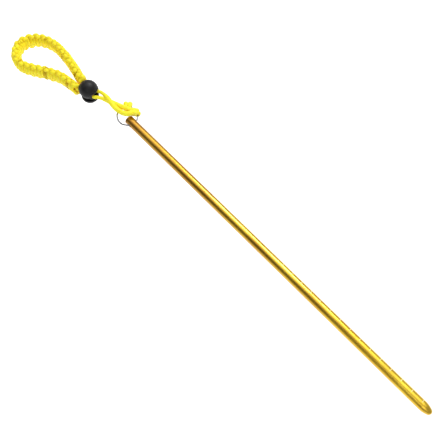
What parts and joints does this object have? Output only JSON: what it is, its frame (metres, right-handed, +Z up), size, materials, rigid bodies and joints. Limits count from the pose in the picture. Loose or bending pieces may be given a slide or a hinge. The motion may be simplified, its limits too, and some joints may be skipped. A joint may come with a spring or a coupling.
{
  "type": "diver's pointer stick",
  "caption": "Anodised pointer stick with a centimetre scale and an adjustable woven wrist lanyard on a split ring, with a spring cord lock.",
  "frame": {"origin": "apex of the tip, on the bar's axis", "axes": "+X along the bar from the tip to the lanyard, so x is the scale reading; +Z up from the table the stick lies on; +Y across"},
  "size_m": [0.4658, 0.0515, 0.0199],
  "materials": {
    "anodised_gold": "anodised satin",
    "ring_steel": "satin",
    "spring_steel": "bright",
    "cord_yellow": "woven nylon",
    "band_yellow": "woven nylon",
    "lock_black": "moulded satin"
  },
  "bodies": {
    "rod": {"rod": "anodised_gold"},
    "ring": {"split_ring": "ring_steel"},
    "hitch": {"ring_hitch": "cord_yellow"},
    "tail": {"tail_cord_left": "cord_yellow", "tail_cord_right": "cord_yellow"},
    "lock": {"lock_body": "lock_black", "lock_spring": "spring_steel"},
    "button": {"lock_button": "lock_black"},
    "link_1": {"band_weave_1": "band_yellow", "band_core_1": "cord_yellow"},
    "link_2": {"band_weave_2": "band_yellow", "band_core_2": "cord_yellow"},
    "link_3": {"band_weave_3": "band_yellow", "band_core_3": "cord_yellow"},
    "link_4": {"band_weave_4": "band_yellow", "band_core_4": "cord_yellow"},
    "link_5": {"band_weave_5": "band_yellow", "band_core_5": "cord_yellow"},
    "link_6": {"band_weave_6": "band_yellow", "band_core_6": "cord_yellow"},
    "link_7": {"band_weave_7": "band_yellow", "band_core_7": "cord_yellow"}
  },
  "joints": [
    {"name": "ring_swing", "type": "hinge", "parent": "rod", "child": "ring", "pos_m": [0.33, 0, 0], "axis": [0, -1, 0], "range_deg": [-75, 75]},
    {"name": "hitch_orbit", "type": "hinge", "parent": "ring", "child": "hitch", "pos_m": [0.33794, -0.001, 0.00112], "axis": [-0.1392, 0, 0.9903], "range_deg": [0, 70]},
    {"name": "tail_lift", "type": "hinge", "parent": "hitch", "child": "tail", "pos_m": [0.3581, 0.0022, 0.00565], "axis": [0.2924, -0.9563, 0], "range_deg": [-60, 60]},
    {"name": "lock_slide", "type": "slide", "parent": "tail", "child": "lock", "axis": [-0.9563, -0.2924, 0], "range_m": [0, 0.01]},
    {"name": "button_press", "type": "slide", "parent": "lock", "child": "button", "axis": [0, 0, 1], "range_m": [0, 0.0028], "deforming": ["lock_spring"]},
    {"name": "loop_sway", "type": "hinge", "parent": "tail", "child": "link_1", "pos_m": [0.38645, 0.01087, 0.00401], "axis": [0.0166, 0, 0.9999], "range_deg": [-3, 3]},
    {"name": "loop_open", "type": "hinge", "parent": "link_1", "child": "link_2", "pos_m": [0.4109, 0.0019, 0.0036], "axis": [-0.0166, 0, -0.9999], "range_deg": [-5, 7]},
    {"name": "loop_open_3", "type": "hinge", "parent": "link_2", "child": "link_3", "pos_m": [0.43608, -0.00028, 0.00318], "axis": [-0.0166, 0, -0.9999], "range_deg": [-5.7, 4.07]},
    {"name": "loop_open_4", "type": "hinge", "parent": "link_3", "child": "link_4", "pos_m": [0.45835, 0.01009, 0.00281], "axis": [-0.0166, 0, -0.9999], "range_deg": [-1.24, 1.72]},
    {"name": "loop_open_5", "type": "hinge", "parent": "link_4", "child": "link_5", "pos_m": [0.45417, 0.03201, 0.00288], "axis": [-0.0166, 0, -0.9999], "range_deg": [-3.1, 4.33]},
    {"name": "loop_open_6", "type": "hinge", "parent": "link_5", "child": "link_6", "pos_m": [0.43077, 0.03008, 0.00327], "axis": [-0.0166, 0, -0.9999], "range_deg": [-1.96, 1.41]},
    {"name": "loop_open_7", "type": "hinge", "parent": "link_6", "child": "link_7", "pos_m": [0.4087, 0.0178, 0.00364], "axis": [-0.0166, 0, -0.9999], "range_deg": [-9.61, 6.87]}
  ],
  "couplings": [
    {"joint": "loop_open_3", "follows": "loop_open", "ratio": -0.8107},
    {"joint": "loop_open_4", "follows": "loop_open", "ratio": 0.243},
    {"joint": "loop_open_5", "follows": "loop_open", "ratio": 0.6156},
    {"joint": "loop_open_6", "follows": "loop_open", "ratio": -0.2777},
    {"joint": "loop_open_7", "follows": "loop_open", "ratio": -1.3703}
  ]
}
